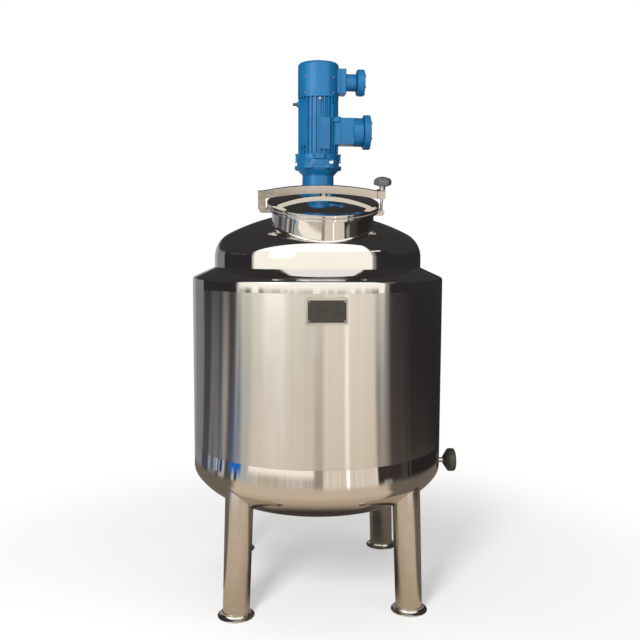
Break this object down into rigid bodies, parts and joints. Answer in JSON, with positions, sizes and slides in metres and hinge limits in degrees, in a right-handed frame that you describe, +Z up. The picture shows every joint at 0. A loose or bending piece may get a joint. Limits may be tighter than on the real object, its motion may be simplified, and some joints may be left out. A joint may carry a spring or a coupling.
{
  "type": "jacketed mixing tank",
  "caption": "Stainless steel jacketed mixing tank on tubular legs, with a tilted clamp-lid manhole, a dial thermometer and a geared motor driving an agitator from above.",
  "frame": {"origin": "on the floor, at the middle of the box round the whole tank, 39 mm to the right of and 17 mm behind the tank's own axis", "axes": "+Z up, along the tank's axis; -Y is the front, with the manhole and the nameplate; +X is the side of the thermometer and the terminal boxes"},
  "size_m": [1.078, 1.0554, 2.1155],
  "materials": {
    "brushed_steel": "stainless steel, brushed round the tank",
    "mirror_steel": "stainless steel, polished to a mirror",
    "gasket_rubber": "matt",
    "blue_paint": "semi-gloss enamel on castings",
    "knob_plastic": "satin",
    "plate_metal": "dark etched plate",
    "dial_white": "white dial",
    "sight_glass": "clear"
  },
  "bodies": {
    "tank": {"cladding_wall": "brushed_steel", "vessel_wall": "brushed_steel", "vessel_bottom_head": "brushed_steel", "bottom_outlet": "brushed_steel", "leg_front_right": "brushed_steel", "leg_rear_right": "brushed_steel", "leg_rear_left": "brushed_steel", "leg_front_left": "brushed_steel", "foot_front_right": "brushed_steel", "foot_rear_right": "brushed_steel", "foot_rear_left": "brushed_steel", "foot_front_left": "brushed_steel", "manhole_neck": "brushed_steel", "hinge_bracket": "brushed_steel", "hinge_pin": "brushed_steel", "bolt_bracket": "brushed_steel", "bolt_pin": "brushed_steel", "drive_pad": "brushed_steel", "motor_lift_bolt": "brushed_steel", "agitator_shaft": "brushed_steel", "agitator_impeller": "brushed_steel", "nameplate_holder": "brushed_steel", "thermometer_socket": "brushed_steel", "thermometer_stem": "brushed_steel", "thermometer_case": "brushed_steel", "jacket_inlet": "brushed_steel", "jacket_outlet": "brushed_steel", "cladding_shoulder": "mirror_steel", "cladding_bottom": "mirror_steel", "vessel_top_head": "mirror_steel", "manhole_gasket": "gasket_rubber", "motor_stool": "blue_paint", "reducer_bell": "blue_paint", "reducer_housing": "blue_paint", "motor_flange": "blue_paint", "motor_frame": "blue_paint", "fan_cover": "blue_paint", "terminal_box": "blue_paint", "terminal_box_cover": "blue_paint", "fan_box": "blue_paint", "fan_box_cover": "blue_paint", "nameplate": "plate_metal", "thermometer_dial": "dial_white", "oil_sight_glass": "sight_glass"},
    "lid": {"manhole_lid": "mirror_steel", "clamp_beam": "brushed_steel", "lid_stud": "brushed_steel"},
    "bolt": {"swing_bolt": "brushed_steel"},
    "knob": {"star_knob": "knob_plastic"}
  },
  "joints": [
    {"name": "lid_hinge", "type": "hinge", "parent": "tank", "child": "lid", "pos_m": [-0.2655, -0.24917, 1.51812], "axis": [0, -0.96, -0.28], "range_deg": [0, 105]},
    {"name": "bolt_swing", "type": "hinge", "parent": "tank", "child": "bolt", "pos_m": [0.18, -0.24665, 1.50948], "axis": [0, 0.96, 0.28], "range_deg": [0, 110]},
    {"name": "knob_turn", "type": "hinge", "parent": "bolt", "child": "knob", "pos_m": [0.18, -0.24665, 1.50948], "axis": [0, -0.28, 0.96], "continuous": true}
  ]
}
